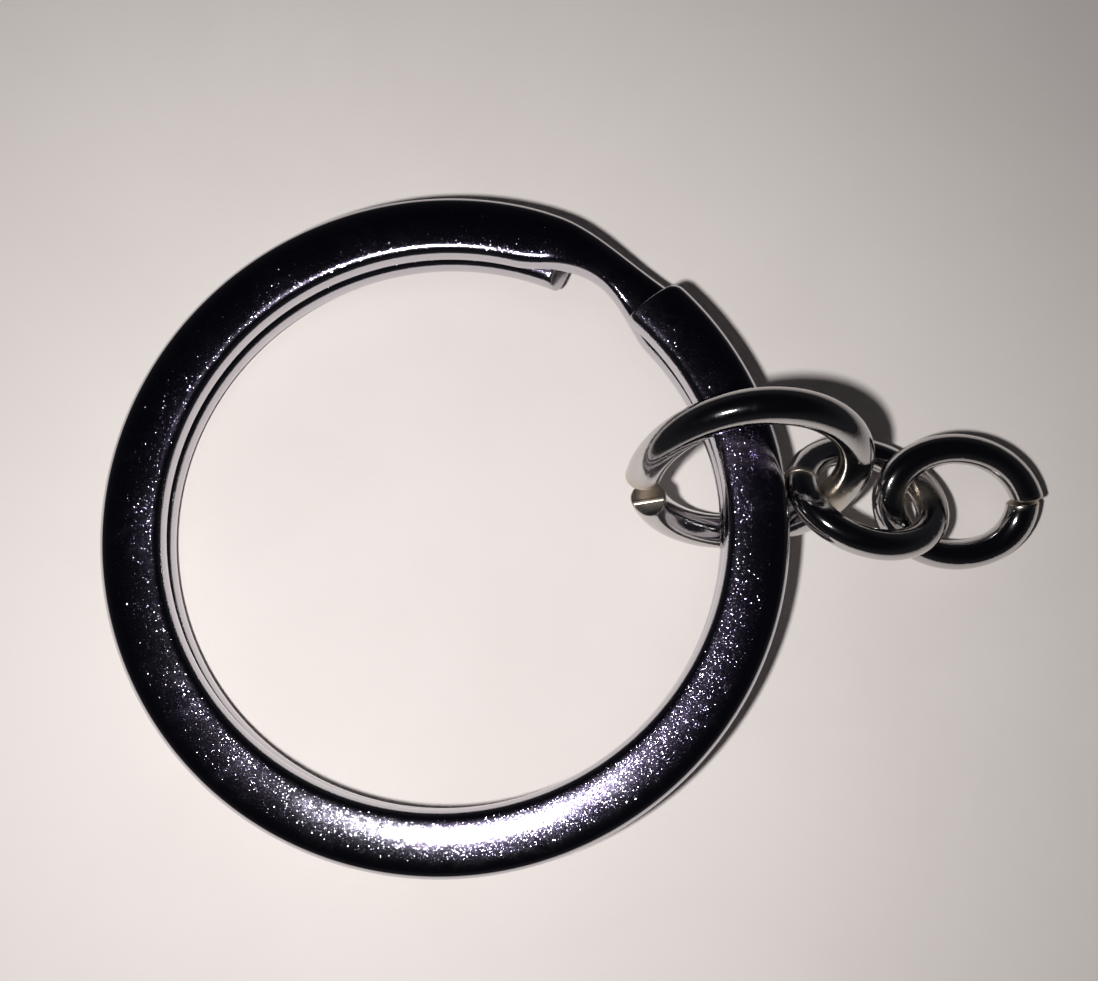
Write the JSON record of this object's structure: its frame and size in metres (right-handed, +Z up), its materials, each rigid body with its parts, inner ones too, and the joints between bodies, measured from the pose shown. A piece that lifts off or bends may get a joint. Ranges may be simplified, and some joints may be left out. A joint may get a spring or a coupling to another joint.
{
  "type": "split key ring",
  "caption": "Flat-wire split key ring lying on a table, with a round jump ring and a short run of oval chain links for hanging a fob.",
  "frame": {"origin": "the point where the split ring's own axis meets the table that it lies on", "axes": "+Z up from the table; +X from the split ring's eye towards the chain links; +Y to the left of that, along the table"},
  "size_m": [0.0494, 0.035, 0.0113],
  "materials": {
    "ring_chrome": "bright nickel-chrome plate on spring steel, finely scratched",
    "link_chrome": "bright nickel plate on steel wire, brown at the cut ends"
  },
  "bodies": {
    "fixed_turn": {"split_ring_fixed_turn": "ring_chrome"},
    "sprung_turn": {"split_ring_sprung_turn": "ring_chrome"},
    "jump_ring": {"jump_ring": "link_chrome"},
    "chain_link": {"chain_link": "link_chrome"},
    "end_link": {"end_link": "link_chrome"}
  },
  "joints": [
    {"name": "coil_opening", "type": "hinge", "parent": "fixed_turn", "child": "sprung_turn", "pos_m": [-0.01142, -0.01341, 0.00208], "axis": [0.7642, -0.6428, 0.0532], "range_deg": [0, 4.5], "stiffness_Nm_per_rad": 4},
    {"name": "jump_ring_travel", "type": "hinge", "parent": "fixed_turn", "child": "jump_ring", "pos_m": [-0.00008, 0, 0.00111], "axis": [-0.0694, 0, 0.9976], "continuous": true},
    {"name": "chain_link_swing", "type": "hinge", "parent": "jump_ring", "child": "chain_link", "pos_m": [0.01908, 0.00106, 0.00235], "axis": [0.6723, 0.338, 0.6586], "range_deg": [-90, 90]},
    {"name": "end_link_swing", "type": "hinge", "parent": "chain_link", "child": "end_link", "pos_m": [0.02522, 0.00049, 0.00296], "axis": [0.3547, 0.7787, -0.5175], "range_deg": [0, 110]}
  ]
}
